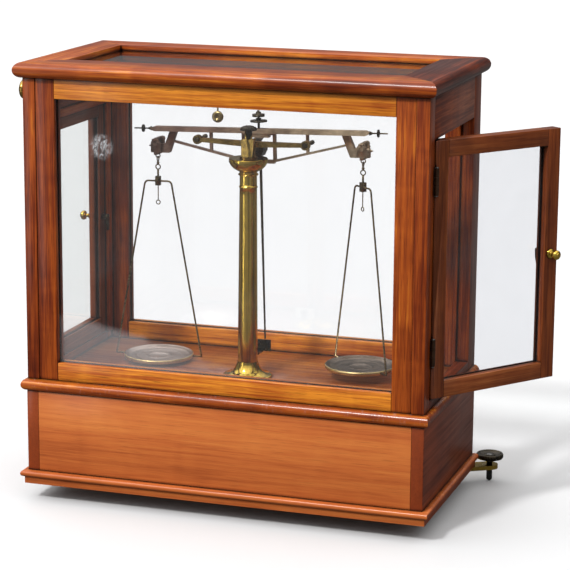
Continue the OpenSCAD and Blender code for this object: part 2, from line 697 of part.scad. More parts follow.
// A ring through the stirrup's eye, a second ring, and a stem that turns in the bow's block
module hook() {
  top = eye_z - 2.2 + 1.3;
  translate([0, 0, top - 2.4]) rotate([0, 90, 0]) ring(2.4, 0.6);
  translate([0, 0, top - 8.2]) cylinder(h = 3.4, r = 0.8);
  translate([0, 0, top - 6.3]) sphere(r = 1.5);
  translate([0, 0, top - 10.4]) rotate([90, 0, 0]) ring(2.4, 0.6);
  translate([0, 0, block_z - 3.4]) cylinder(h = top - 12.6 - block_z + 3.4, r = hook_r);
}
module left_hook() { color(dark_brass) at_end(-1) hook(); }
module right_hook() { color(dark_brass) at_end(1) hook(); }

// Wire bow from the swivel block to the pan's rim, with a thin sighting wire between the legs
wire = 0.9;
bow_bend = 4;
bow_top = block_z - 4.7;
bow_foot = -pan_drop - 1.9;
bow_lean = atan((bow_r - bow_w) / (bow_top - bow_foot));
module bow_half() {
  turn = 90 - bow_lean;
  x = bow_w - bow_bend * tan(turn / 2);
  z = bow_top - bow_bend;
  bends = [for (k = [0:4]) let (a = 90 - turn * k / 4) [x + bow_bend * cos(a), 0, z + bow_bend * sin(a)]];
  path = concat([[0, 0, bow_top]], bends, [[bow_r, 0, bow_foot], [pan_r - 1.4, 0, bow_foot]]);
  for (k = [0:len(path) - 2]) {
    bar_between(path[k], path[k + 1], wire);
    if (k > 0) translate(path[k]) sphere(r = wire + 0.03, $fn = 24);
  }
}
module bow() {
  difference() {
    union() {
      slab([-2.5, -2.5, block_z - block_h], [2.5, 2.5, block_z]);
      both_sides() bow_half();
    }
    translate([0, 0, block_z - 3.5]) cylinder(h = 5, r = hook_r + run);
  }
  translate([0, 0, block_z - block_h - 15]) cylinder(h = 15.1, r = 0.5, $fn = 24);
  translate([0, 0, block_z - block_h - 17.2]) rotate([90, 0, 0]) ring(2, 0.5);
}
module left_bow() { color(dark_brass) at_end(-1) rotate(left_turn) bow(); }
module right_bow() { color(dark_brass) at_end(1) rotate(right_turn) bow(); }

// Shallow dish with a thick rim and two turned rings
module pan() {
  difference() {
    translate([0, 0, -pan_drop - pan_t]) rotate_extrude() polygon([
      [0, 0], [pan_r - 1.6, 0], [pan_r - 0.5, 0.4], [pan_r, 1.2], [pan_r, pan_t - 0.7], [pan_r - 0.6, pan_t],
      [pan_r - 1.8, pan_t], [pan_r - 3.4, pan_t - 1.2], [pan_r - 5, 1.9], [pan_r - 12, 1.5],
      [pan_r - 12.6, 1.8], [pan_r - 13.2, 1.5], [12, 1.4], [11.4, 1.7], [10.8, 1.4], [0, 1.4]]);
    for (s = [-1, 1]) translate([s * (pan_r - 1.5), 0, bow_foot]) rotate([0, s * 90, 0])
      cylinder(h = 3, r = wire + 0.05);
  }
}
module left_pan() { color(old_brass) at_end(-1) rotate(left_turn) pan(); }
module right_pan() { color(old_brass) at_end(1) rotate(right_turn) pan(); }

// Scale plate behind the pointer's tip, on an arm with a saddle screwed to the column's back
saddle_t = 3.2;
saddle_screw_z = 21.4;
scale_y = beam_y + 5.4;
module scale_plate() {
  color([0.85, 0.82, 0.72]) at_deck() slab([-11.3, scale_y, 16.6], [11.3, scale_y + 1.6, 28.6]);
}
module scale_bracket() {
  color(dark_brass) at_deck() {
    difference() {
      union() {
        slab([-4.5, -column_y + column_r_lo - 2, 16], [4.5, -column_y + column_r_lo + saddle_t, 25]);
        slab([-3, -column_y + column_r_lo + 1.2, 16], [3, scale_y + 3.2, 16 + 2.4]);
      }
      translate([0, -column_y, 16 - eps]) cylinder(h = 10, r = column_r_lo + 0.05);
      translate([0, -column_y + column_r_lo + 5, saddle_screw_z]) rotate([90, 0, 0]) cylinder(h = 8, r = 1.25);
      slab([-4, scale_y - 0.1, 16.5], [4, scale_y + 1.7, 30]);
    }
    slab([-3, scale_y + 1.65, 16], [3, scale_y + 3.2, 26]);
  }
}

// Rider rod through the left frieze, with a carrier over the beam's left arm
module at_rider() { at_deck() translate([0, beam_y, rider_z]) rotate([0, 90, 0]) children(); }
module rider_bush() {
  color(old_brass) at_rider() translate([0, 0, -hx]) difference() {
    union() {
      translate([0, 0, -2.3]) cylinder(h = 2, r = 9);
      translate([0, 0, -0.4]) cylinder(h = post_w + 9, r = bush_r);
    }
    translate([0, 0, -3]) cylinder(h = 30, r = 2 + run);
  }
}
module rider_rod() {
  color(old_brass) at_rider() {
    translate([0, 0, -hx - 50]) cylinder(h = hx + 50 + rider_x + 8, r = 2);
    translate([0, 0, -hx - 52]) rotate_extrude()
      polygon([[0, 0], [8.4, 0], [9.5, 1], [9.5, 4], [8.6, 5], [4, 5.6], [3.2, 8], [0, 8]]);
  }
}
module rider_carrier() {
  color(old_brass) at_deck() translate([rider_x, beam_y, rider_z]) {
    rotate([0, 90, 0]) difference() {
      translate([0, 0, -4.5]) cylinder(h = 9, r = 4.6);
      translate([0, 0, -6]) cylinder(h = 12, r = 2.05);
    }
    translate([0, 0, 4.5 - rider_drop]) cylinder(h = rider_drop - 8.5, r = 0.8);
    translate([0, 2.2, -rider_drop]) rotate([90, 0, 0]) rotate_extrude()
      polygon([[0, 0.6], [2.2, 0.6], [2.6, 0], [5.2, 0.6], [5.7, 1.4], [5.7, 3], [5.2, 3.8], [2.6, 4.4],
               [2.2, 3.8], [0, 3.8]]);
  }
}

// Levelling gear under the front corners, and the fixed foot
level_dir = 32;
module bracket_holes(r, z, h) {
  for (d = [24, 40])
    translate([level_x, level_y, z]) rotate(180 + level_dir) translate([d, 0, 0]) cylinder(h = h, r = r);
}
module levelling_brackets() {
  color(old_brass) at_deck() both_sides() translate([0, 0, base_z - bracket_t]) difference() {
    union() {
      translate([level_x, level_y, 0]) cylinder(h = bracket_t, r = 8.5);
      translate([level_x, level_y, 0]) rotate(180 + level_dir) slab([0, -8.5, 0], [50, 8.5, bracket_t]);
    }
    translate([level_x, level_y, -eps]) cylinder(h = 6, r = screw_r + run);
    bracket_holes(2, -eps, 6);
  }
}
module rear_foot() {
  color(dark_brass) at_deck() translate([0, -foot_y, base_z - ground_gap]) {
    rotate_extrude() polygon([
      [0, 0], [11, 0], [13, 1.2], [14, 3.4], [13.4, 6.4], [11.4, 9.4], [11.4, 13], [13, 14.6],
      [13, ground_gap], [0, ground_gap]]);
    translate([0, 0, ground_gap - 1]) cylinder(h = 11, r = 1.9);
  }
}

// Screws of the brackets and the column
module wood_screw(h, r) {
  cylinder(h = h, r = r);
  cylinder(h = 1.6, r = 1.9 * r);
}
module case_screws() {
  color(steel) at_deck() {
    both_sides() for (d = [24, 40]) translate([level_x, level_y, base_z - bracket_t - 1.65])
      rotate(180 + level_dir) translate([d, 0, 0]) wood_screw(15, 1.8);
    for (x = [-9, 9]) translate([x, -column_y, -deck_t - 1.65]) wood_screw(16, 1.4);
    translate([0, -column_y + column_r_lo + saddle_t + 1.65, saddle_screw_z]) rotate([90, 0, 0])
      wood_screw(9, 1.2);
  }
}
module levelling_screw() {
  translate([level_x, level_y, base_z - ground_gap]) {
    cylinder(h = 2, r1 = 1, r2 = screw_r);
    translate([0, 0, 2]) cylinder(h = ground_gap + 8.8, r = screw_r);
    translate([0, 0, ground_gap + 3.2]) cylinder(h = 1.2, r = 4.6);
  }
}
module levelling_wheel() {
  translate([level_x, level_y, base_z + 4.6]) difference() {
    rotate_extrude() polygon([[0, 0], [6, 0], [6.4, 0.8], [wheel_r - 2.4, 1.2], [wheel_r - 0.7, 1.8],
      [wheel_r, 2.8], [wheel_r, 5.6], [wheel_r - 0.7, 6.6], [wheel_r - 1.6, 6.9], [wheel_r - 2.8, 6],
      [6, 4.4], [5.4, 5.6], [0, 6]]);
    translate([0, 0, -eps]) cylinder(h = 9, r = screw_r + run);
    for (k = [0:29]) rotate(k * 12) translate([wheel_r + 0.35, 0, 1]) cylinder(h = 7, r = 0.8, $fn = 16);
  }
}
module left_levelling_screw() { color(steel) at_deck() mirror([1, 0, 0]) levelling_screw(); }
module right_levelling_screw() { color(steel) at_deck() levelling_screw(); }
module left_levelling_wheel() { color(dark_brass) at_deck() mirror([1, 0, 0]) levelling_wheel(); }
module right_levelling_wheel() { color(dark_brass) at_deck() levelling_wheel(); }

base_board();
plinth_ends();
plinth_panels();
deck();
corner_posts();
window_frames();
window_glass();
side_rails();
door_stops();
top_frame();
top_glass();
right_door_frame();
right_door_glass();
right_door_catch();
left_door_frame();
left_door_glass();
left_door_catch();
hinge_post_leaves();
hinge_pins();
right_hinge_leaves();
left_hinge_leaves();
column_foot();
column_shaft();
column_capital();
column_head();
arrest_arms();
arrest_pins();
bearing_bracket();
bearing_agate();
lift_rod();
arrest_shaft();
arrest_knob();
shaft_bearings();
beam();
knife_edges();
adjusting_rods();
sensitivity_nuts();
left_poising_nut();
right_poising_nut();
pointer();
left_stirrup();
right_stirrup();
left_hook();
right_hook();
left_bow();
right_bow();
left_pan();
right_pan();
scale_plate();
scale_bracket();
rider_bush();
rider_rod();
rider_carrier();
levelling_brackets();
rear_foot();
case_screws();
left_levelling_screw();
right_levelling_screw();
left_levelling_wheel();
right_levelling_wheel();
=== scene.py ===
"""Looks of the apothecary scale: eased boards with grain, turned brass, glazing, studio and camera."""
import json
import math
import random

import bmesh
import bpy
from mathutils import Matrix, Vector

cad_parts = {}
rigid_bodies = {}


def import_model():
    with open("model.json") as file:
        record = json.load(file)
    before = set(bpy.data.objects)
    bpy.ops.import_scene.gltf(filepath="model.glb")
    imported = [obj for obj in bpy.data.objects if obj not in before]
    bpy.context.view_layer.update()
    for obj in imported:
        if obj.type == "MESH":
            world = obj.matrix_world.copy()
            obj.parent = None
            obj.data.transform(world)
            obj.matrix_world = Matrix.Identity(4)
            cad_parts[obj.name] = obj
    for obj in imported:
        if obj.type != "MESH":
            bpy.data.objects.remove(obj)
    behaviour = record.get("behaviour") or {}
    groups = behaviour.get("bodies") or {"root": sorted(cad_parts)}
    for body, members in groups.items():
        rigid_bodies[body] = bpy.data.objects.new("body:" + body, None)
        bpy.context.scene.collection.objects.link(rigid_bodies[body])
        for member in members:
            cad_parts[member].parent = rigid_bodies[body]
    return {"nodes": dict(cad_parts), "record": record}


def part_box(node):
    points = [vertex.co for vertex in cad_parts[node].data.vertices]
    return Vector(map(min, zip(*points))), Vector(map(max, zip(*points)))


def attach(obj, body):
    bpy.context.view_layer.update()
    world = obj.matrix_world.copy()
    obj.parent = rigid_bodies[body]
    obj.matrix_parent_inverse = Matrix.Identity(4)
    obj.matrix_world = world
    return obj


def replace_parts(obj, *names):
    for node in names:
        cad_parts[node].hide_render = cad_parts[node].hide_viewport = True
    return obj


for o in list(bpy.data.objects):
    bpy.data.objects.remove(o)
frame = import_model()
NODES = frame["nodes"]
BODY_OF = {n: b for b, ns in frame["record"]["behaviour"]["bodies"].items() for n in ns}
SLOT_OF = {s["node"]: s["material_slot"] for s in frame["record"]["subparts"]}
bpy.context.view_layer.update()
MM = 0.001

# Camera, fitted to the straight edges of the case
CAMERA_PLACE = Vector((0.6936086, -1.9905930, 0.6896384))
YAW = math.radians(18.1019)
PITCH = math.radians(12.58457)
ROLL = math.radians(0.40996)
SENSOR_MM = 36
LENS_MM = 140.73
FARTHEST_SEEN = 200


def make_camera():
    """The scene's camera, from its place and its three angles."""
    forward = Vector((-math.sin(YAW) * math.cos(PITCH), math.cos(YAW) * math.cos(PITCH), -math.sin(PITCH)))
    right = Vector((math.cos(YAW), math.sin(YAW), 0))
    up = right.cross(forward)
    picture_right = math.cos(ROLL) * right + math.sin(ROLL) * up
    picture_up = -math.sin(ROLL) * right + math.cos(ROLL) * up
    data = bpy.data.cameras.new("camera")
    data.sensor_width = SENSOR_MM
    data.lens = LENS_MM
    data.clip_end = FARTHEST_SEEN
    camera = bpy.data.objects.new("camera", data)
    bpy.context.scene.collection.objects.link(camera)
    pose = Matrix((picture_right, picture_up, -forward)).transposed().to_4x4()
    pose.translation = CAMERA_PLACE
    camera.matrix_world = pose
    bpy.context.scene.camera = camera
    bpy.context.scene.view_settings.view_transform = "Standard"


make_camera()


class Tree:
    """The shader nodes of a material or of the world, in short calls."""

    def __init__(self, owner, output="ShaderNodeOutputMaterial"):
        self.owner = owner
        owner.use_nodes = True
        self.tree = owner.node_tree
        self.tree.nodes.clear()
        self.out = self.add(output)

    def add(self, kind, **props):
        n = self.tree.nodes.new(kind)
        for k, v in props.items():
            setattr(n, k, v)
        return n

    def put(self, socket, value):
        """Links a socket into another, or sets its value."""
        if isinstance(value, bpy.types.NodeSocket):
            self.tree.links.new(value, socket)
        else:
            socket.default_value = value

    def math(self, op, a, b=0.0, clamp=False):
        n = self.add("ShaderNodeMath", operation=op, use_clamp=clamp)
        self.put(n.inputs[0], a)
        self.put(n.inputs[1], b)
        return n.outputs[0]

    def weighted(self, *parts):
        """Sum of values, each times its weight."""
        total = None
        for value, weight in parts:
            part = self.math("MULTIPLY", value, weight)
            total = part if total is None else self.math("ADD", total, part)
        return total

    def stretched(self, value, middle, factor, new_middle):
        """A value's distance from middle, times factor, added to new_middle."""
        apart = self.math("SUBTRACT", value, middle)
        return self.math("ADD", self.math("MULTIPLY", apart, factor), new_middle)

    def place(self):
        return self.add("ShaderNodeTexCoord").outputs["Object"]

    def attribute(self, name, output):
        return self.add("ShaderNodeAttribute", attribute_name=name).outputs[output]

    def coords(self, scale, attribute=None, offset=(0, 0, 0)):
        """Place on the object, or a vector attribute of the mesh, times scale and moved by offset."""
        m = self.add("ShaderNodeMapping")
        self.put(m.inputs["Vector"], self.attribute(attribute, "Vector") if attribute else self.place())
        m.inputs["Scale"].default_value = scale
        m.inputs["Location"].default_value = offset
        return m.outputs[0]

    def xyz(self, vector):
        n = self.add("ShaderNodeSeparateXYZ")
        self.put(n.inputs[0], vector)
        return n.outputs["X"], n.outputs["Y"], n.outputs["Z"]

    def distance(self, spot):
        """Distance from a spot on the object."""
        n = self.add("ShaderNodeVectorMath", operation="DISTANCE")
        self.put(n.inputs[0], self.place())
        n.inputs[1].default_value = spot
        return n.outputs["Value"]

    def dot(self, a, b):
        n = self.add("ShaderNodeVectorMath", operation="DOT_PRODUCT")
        self.put(n.inputs[0], a)
        self.put(n.inputs[1], b)
        return n.outputs["Value"]

    def noise(self, vector, detail, rough, distortion=0.0):
        n = self.add("ShaderNodeTexNoise")
        self.put(n.inputs["Vector"], vector)
        n.inputs["Scale"].default_value = 1.0
        n.inputs["Detail"].default_value = detail
        n.inputs["Roughness"].default_value = rough
        n.inputs["Distortion"].default_value = distortion
        return n.outputs["Fac"]

    def ramp(self, fac, stops):
        """Colours or greys by a value: stops are pairs of value and colour or grey."""
        n = self.add("ShaderNodeValToRGB")
        self.put(n.inputs[0], fac)
        e = n.color_ramp.elements
        while len(e) < len(stops):
            e.new(0.5)
        for i, (p, c) in enumerate(stops):
            e[i].position = p
            e[i].color = (*c, 1) if isinstance(c, tuple) else (c, c, c, 1)
        return n.outputs["Color"]

    def remap(self, value, a, b, c, d):
        """A value's range from a to b becomes c to d, and it stays in that range."""
        n = self.add("ShaderNodeMapRange")
        self.put(n.inputs["Value"], value)
        for k, v in (("From Min", a), ("From Max", b), ("To Min", c), ("To Max", d)):
            n.inputs[k].default_value = v
        return n.outputs["Result"]

    def mix(self, fac, a, b, blend="MIX"):
        """Colours a and b mixed by a factor."""
        n = self.add("ShaderNodeMix", data_type="RGBA", blend_type=blend)
        self.put(n.inputs["Factor"], fac)
        for socket, colour in (("A", a), ("B", b)):
            self.put(n.inputs[socket], colour if isinstance(colour, bpy.types.NodeSocket) else (*colour, 1))
        return n.outputs["Result"]

    def mix_values(self, fac, a, b):
        """Plain values a and b mixed by a factor."""
        n = self.add("ShaderNodeMix", data_type="FLOAT")
        self.put(n.inputs["Factor"], fac)
        self.put(n.inputs["A"], a)
        self.put(n.inputs["B"], b)
        return n.outputs["Result"]

    def mix_shaders(self, fac, a, b):
        n = self.add("ShaderNodeMixShader")
        self.put(n.inputs[0], fac)
        self.put(n.inputs[1], a.outputs[0])
        self.put(n.inputs[2], b.outputs[0])
        return n

    def bump(self, height, distance):
        n = self.add("ShaderNodeBump")
        n.inputs["Strength"].default_value = 1.0
        n.inputs["Distance"].default_value = distance
        self.put(n.inputs["Height"], height)
        return n.outputs["Normal"]

    def principled(self, **values):
        n = self.add("ShaderNodeBsdfPrincipled")
        for k, v in values.items():
            self.put(n.inputs[k.replace("_", " ")], (*v, 1) if isinstance(v, tuple) else v)
        return n

    def finish(self, shader):
        """Links the last shader to the output."""
        self.tree.links.new(shader.outputs[0], self.out.inputs["Surface"])
        return self.owner


def material_tree(name):
    return Tree(bpy.data.materials.new(name))


# How fine the wood's patterns are, per metre: along the board, and twice across it
BROAD_FIGURE = (1.3, 17, 17)
STREAKS = (9, 290, 290)
FINE_LINES = (26, 800, 800)
PORES = (45, 1500, 1500)
CROSS_FIGURE = (26, 9, 9)
POLISH_WAVES = (6, 24, 24)
CREASE_REACH = 3.8 * MM
WOOD_RELIEF = 0.06 * MM
POLISH_RELIEF = 0.03 * MM
# Colour of the deck's painted reflection and of its scuffs
DECK_REFLECTION_AND_SCUFF_COLOUR = (0.55, 0.47, 0.46)


def wood(name, dark, mid, light, bright, coat=0.27, coat_rough=0.2, contrast=1.0, pore_depth=0.55,
         painted_top_shade=0.0, painted_reflection=None):
    """Polished mahogany. The grain attribute gives the place along and across a board, the along attribute
    its direction, and the tone attribute how much lighter it is. Faces across the grain are calmer. The top
    shade amount paints shade on faces that look up, towards the dark colour, and the painted reflection
    argument is the place and the radii of a pale painted reflection on the polish, laid with scuffs all over."""
    t = material_tree(name)
    broad = t.noise(t.coords(BROAD_FIGURE, "grain"), 3, 0.5, 1.1)
    streak = t.noise(t.coords(STREAKS, "grain"), 3, 0.6, 0.4)
    fine = t.noise(t.coords(FINE_LINES, "grain"), 3, 0.65)
    pore = t.noise(t.coords(PORES, "grain", (3, 1, 2)), 2, 0.5)
    figure = t.noise(t.coords(CROSS_FIGURE, "grain", (9, 4, 1)), 2, 0.5, 0.8)
    grain = t.weighted((broad, 0.50), (streak, 0.44), (fine, 0.24), (figure, 0.18))
    grain = t.stretched(grain, 0.68, contrast, 0.5)
    normal = t.add("ShaderNodeTexCoord").outputs["Normal"]
    across = t.math("ABSOLUTE", t.dot(t.attribute("along", "Vector"), normal))
    end = t.remap(across, 0.75, 0.95, 0.0, 1.0)
    grain = t.mix_values(end, grain, t.stretched(grain, 0.5, 0.35, 0.43))
    tone = t.math("MULTIPLY", t.attribute("tone", "Fac"), t.remap(end, 0.0, 1.0, 1.0, 0.3))
    colour = t.ramp(t.math("ADD", grain, tone), [(0.31, dark), (0.45, mid), (0.59, light), (0.80, bright)])
    pores = t.remap(pore, 0.58, 0.70, 0.0, pore_depth)
    colour = t.mix(pores, colour, tuple(c * 0.35 for c in dark))
    # Painted shade: faces that look up are darkened towards the dark colour
    if painted_top_shade:
        upward = t.xyz(normal)[2]
        colour = t.mix(t.remap(upward, 0.9, 0.98, 0.0, painted_top_shade), colour, dark)
    # Painted shade: faces in creases and joints are darkened by how enclosed they are
    crease = t.add("ShaderNodeAmbientOcclusion", samples=6, only_local=False)
    crease.inputs["Distance"].default_value = CREASE_REACH
    painted_crease_shade = t.remap(crease.outputs["AO"], 0.5, 0.86, 1.0, 0.0)
    colour = t.mix(painted_crease_shade, colour, tuple(c * 0.12 for c in dark))
    rough = t.remap(streak, 0.3, 0.7, 0.44, 0.32)
    wave = t.noise(t.coords(POLISH_WAVES, "grain"), 1, 0.5)
    height = t.weighted((streak, 0.5), (pores, -0.6), (wave, 3.0))
    p = t.principled(Base_Color=colour, Roughness=rough, Specular_IOR_Level=0.14,
                     Coat_Weight=coat, Coat_Roughness=coat_rough, Coat_IOR=1.5)
    t.put(p.inputs["Normal"], t.bump(height, WOOD_RELIEF))
    t.put(p.inputs["Coat Normal"], t.bump(height, POLISH_RELIEF))
    # Painted reflection: a pale, clouded patch on the deck, with scuffs all over it
    if painted_reflection:
        spot, radii = painted_reflection
        inside = t.add("ShaderNodeMapping", vector_type="TEXTURE")
        t.put(inside.inputs["Vector"], t.place())
        inside.inputs["Location"].default_value = spot
        inside.inputs["Scale"].default_value = radii
        away = t.add("ShaderNodeVectorMath", operation="LENGTH")
        t.put(away.inputs[0], inside.outputs[0])
        patch = t.remap(away.outputs["Value"], 0.25, 1.0, 1.0, 0.0)
        cloud = t.noise(t.coords((30, 60, 60)), 5, 0.65, 0.9)
        patch = t.math("MULTIPLY", patch, t.remap(cloud, 0.36, 0.58, 0.0, 1.0), clamp=True)
        scuff = t.noise(t.coords((420, 160, 160), None, (4, 4, 4)), 3, 0.7)
        all_over = t.remap(scuff, 0.58, 0.8, 0.0, 0.22)
        amount = t.math("MAXIMUM", t.math("MULTIPLY", patch, 0.4), all_over)
        t.put(p.inputs["Base Color"], t.mix(amount, colour, DECK_REFLECTION_AND_SCUFF_COLOUR))
        t.put(p.inputs["Roughness"], t.math("ADD", rough, t.math("MULTIPLY", patch, 0.25)))
    return t.finish(p)


def metal(name, dark, light, rough, spread, lines, cloud, stain, stained=0.3, metallic=1.0, relief=0.00002,
          lines_share=0.3, fade=None, painted_rings=None):
    """Brass, bronze or steel between two colours, clouded and finely lined, with stained spots. lines and
    cloud say how fine those patterns are, per metre. fade is half the width of the change to the tint of the
    left end, and the painted rings argument is the place and the radius of a round face with painted ring
    highlights and shade, dark in the middle."""
    t = material_tree(name)
    clouds = t.noise(t.coords((cloud, cloud, cloud)), 5, 0.6, 0.3)
    marks = t.noise(t.coords(lines, None, (2, 5, 1)), 3, 0.7)
    pattern = t.weighted((clouds, 1.0 - lines_share), (marks, lines_share))
    colour = t.ramp(pattern, [(0.34, dark), (0.62, light)])
    if fade:
        half_width, tint = fade
        left = t.remap(t.xyz(t.place())[0], -half_width, half_width, 1.0, 0.0)
        colour = t.mix(left, colour, t.mix(1.0, colour, tint, "MULTIPLY"))
    # Painted highlights and shade: bright and dark rings around a dark middle on a round face
    if painted_rings:
        spot, radius = painted_rings
        turned = t.ramp(t.math("DIVIDE", t.distance(spot), radius),
                        [(0.12, 0.15), (0.2, 1.0), (0.42, 0.75), (0.6, 0.35), (0.72, 1.0), (0.95, 0.5)])
        colour = t.mix(1.0, colour, turned, "MULTIPLY")
    spots = t.noise(t.coords((140, 140, 140), None, (7, 2, 9)), 6, 0.7, 0.8)
    colour = t.mix(t.remap(spots, 0.5, 0.72, 0.0, stained), colour, stain)
    both = t.weighted((clouds, 0.5), (marks, 0.5))
    roughness = t.remap(both, 0.3, 0.7, rough - spread / 2, rough + spread / 2)
    p = t.principled(Base_Color=colour, Metallic=metallic, Roughness=roughness)
    t.put(p.inputs["Normal"], t.bump(marks, relief))
    return t.finish(p)


# Grey of the panes' dust and of the painted reflection low on the near pane
DUST_AND_REFLECTION_COLOUR = (0.72, 0.72, 0.74)
MIRROR_HEAD_ON = 0.04


def glass(name, veil=0.004, smudge=None, tint=(0.975, 0.985, 0.98), low_painted_reflection=None):
    """A pane: clear, more of a mirror at a slant, under a dusty veil and dusty specks. smudge is the place
    and the radius of a swirled mark. The low reflection argument is a pale painted reflection low on the near
    pane, in the same grey as the dusty veil: its edge's fall to the right, its height, and the two places in
    x between which it fades."""
    t = material_tree(name)
    film = t.noise(t.coords((11, 11, 11)), 4, 0.6, 0.8)
    dusty = t.remap(film, 0.45, 0.8, veil * 0.4, veil * 2.4)
    dots = t.add("ShaderNodeTexVoronoi", feature="F1")
    t.put(dots.inputs["Vector"], t.coords((150, 150, 150)))
    dots.inputs["Randomness"].default_value = 1.0
    pick = t.noise(t.coords((83, 83, 83), None, (1, 8, 3)), 1, 0.5)
    speck = t.math("MULTIPLY", t.remap(dots.outputs["Distance"], 0.05, 0.1, 1.0, 0.0),
                   t.remap(pick, 0.64, 0.7, 0.0, 0.5), clamp=True)
    amount = t.math("MAXIMUM", dusty, speck)
    if smudge:
        spot, radius = smudge
        near = t.remap(t.distance(spot), radius * 0.55, radius, 1.0, 0.0)
        swirl = t.remap(t.noise(t.coords((150, 60, 90)), 4, 0.6, 3.2), 0.46, 0.62, 0.03, 0.42)
        amount = t.math("MAXIMUM", amount, t.math("MULTIPLY", near, swirl))
    # Painted reflection: a pale grey layer low on the near pane, fading to the right
    if low_painted_reflection:
        fall, height, x_full, x_none = low_painted_reflection
        x, y, z = t.xyz(t.place())
        near_side = t.math("LESS_THAN", y, 0.0)
        edge = t.math("ADD", z, t.math("MULTIPLY", x, fall))
        wavy = t.math("ADD", edge, t.math("MULTIPLY", t.noise(t.coords((17, 17, 17)), 3, 0.6), -0.03))
        low = t.remap(wavy, height - 0.022, height - 0.015, 0.1, 0.0)
        fade = t.remap(x, x_full, x_none, 1.0, 0.0)
        reflection_here = t.math("MULTIPLY", t.math("MULTIPLY", low, fade), near_side)
        amount = t.math("MAXIMUM", amount, reflection_here)
    through = t.add("ShaderNodeBsdfTransparent")
    through.inputs["Color"].default_value = (*tint, 1)
    shine = t.add("ShaderNodeBsdfGlossy")
    shine.inputs["Color"].default_value = (1, 1, 1, 1)
    shine.inputs["Roughness"].default_value = 0.0
    facing = t.add("ShaderNodeLayerWeight")
    facing.inputs["Blend"].default_value = 0.5
    slant = t.math("POWER", facing.outputs["Facing"], 5.0)
    mirror = t.math("ADD", t.math("MULTIPLY", slant, 1.0 - MIRROR_HEAD_ON), MIRROR_HEAD_ON)
    dust_and_reflection = t.add("ShaderNodeBsdfDiffuse")
    dust_and_reflection.inputs["Color"].default_value = (*DUST_AND_REFLECTION_COLOUR, 1)
    return t.finish(t.mix_shaders(amount, t.mix_shaders(mirror, through, shine), dust_and_reflection))


def stone(name):
    """Banded and polished."""
    t = material_tree(name)
    band = t.noise(t.coords((120, 900, 500)), 3, 0.5, 1.5)
    colour = t.ramp(band, [(0.3, (0.22, 0.08, 0.05)), (0.5, (0.45, 0.22, 0.14)), (0.7, (0.66, 0.45, 0.34))])
    return t.finish(t.principled(Base_Color=colour, Roughness=0.12, IOR=1.54))


def ivory(name):
    """Yellowed, in faint clouds."""
    t = material_tree(name)
    cloud = t.noise(t.coords((220, 220, 60)), 4, 0.6, 0.5)
    colour = t.ramp(cloud, [(0.35, (0.62, 0.55, 0.4)), (0.65, (0.8, 0.75, 0.62))])
    p = t.principled(Base_Color=colour, Roughness=t.remap(cloud, 0.3, 0.7, 0.3, 0.45))
    t.put(p.inputs["Normal"], t.bump(cloud, 0.00003))
    return t.finish(p)


def corners(node):
    """Lowest and highest corner of a CAD node's box."""
    return [Vector(v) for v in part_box(node)]


# Wood: dark, middle, light and brightest colour of the grain
RED = ((0.048, 0.006, 0.002), (0.160, 0.023, 0.003), (0.35, 0.070, 0.008), (0.80, 0.290, 0.024))
# The door frames' wood: the red darkened, as painted shade
RED_IN_PAINTED_SHADE = ((0.035, 0.007, 0.003), (0.105, 0.022, 0.006), (0.20, 0.048, 0.012), (0.36, 0.120, 0.035))
FADED = ((0.085, 0.014, 0.005), (0.25, 0.045, 0.010), (0.46, 0.115, 0.026), (0.64, 0.22, 0.050))

# Painted reflection on the deck, a mark and a low painted reflection on the front pane, and the near face of
# the rider carrier's round plate, which gets painted ring highlights and shade
DECK_PAINTED_REFLECTION = ((-0.03, 0.0, 0.124), (0.13, 0.045, 0.05))
PANE_SMUDGE = ((-0.1231, -0.057, 0.3556), 0.0135)
PANE_LOW_REFLECTION = (0.2, 0.158, -0.09, 0.03)
lo, hi = corners("rider_carrier")
DISC_RADIUS = 5.5 * MM
DISC_SPOT = (0.5 * (lo.x + hi.x), lo.y, hi.z - DISC_RADIUS)

# How fine the metals' lines are, per metre: the same every way, and drawn up along the shaft
EVEN_300 = (300, 300, 300)
EVEN_400 = (400, 400, 400)
EVEN_500 = (500, 500, 500)
ALONG_THE_SHAFT = (520, 520, 2.5)
BROWN_STAIN = (0.08, 0.06, 0.04)

